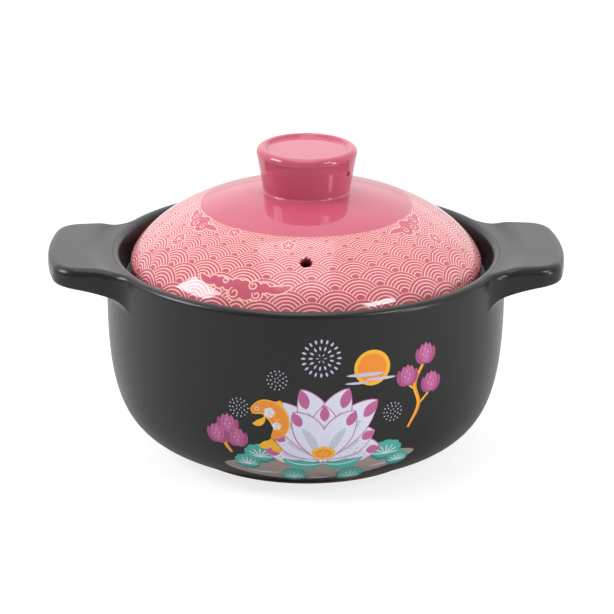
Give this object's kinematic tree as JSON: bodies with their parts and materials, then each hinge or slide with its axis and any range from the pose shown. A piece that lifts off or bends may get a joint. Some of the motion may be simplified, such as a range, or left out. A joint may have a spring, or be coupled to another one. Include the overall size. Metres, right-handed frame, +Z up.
{
  "type": "clay pot",
  "caption": "Glazed clay cooking pot with broad lug handles flush with its rim, a domed lid on an inner ledge and a flared hollow knob.",
  "frame": {"origin": "centre of the foot, on the plane that the pot stands on", "axes": "+Z up along the pot's axis; +X along the line through both handles; -Y towards the decorated front"},
  "size_m": [0.2666, 0.206, 0.1606],
  "materials": {
    "black_glaze": "satin black glaze, with a bare brown ring at the foot",
    "rose_glaze": "gloss clear glaze over a rose and cream pattern"
  },
  "bodies": {
    "pot": {"pot_body": "black_glaze", "left_handle": "black_glaze", "right_handle": "black_glaze"},
    "lid": {"lid_dome": "rose_glaze", "lid_knob": "rose_glaze"}
  },
  "joints": [
    {"name": "lid_lift", "type": "slide", "parent": "pot", "child": "lid", "axis": [0, 0, 1], "range_m": [0, 0.12]}
  ]
}
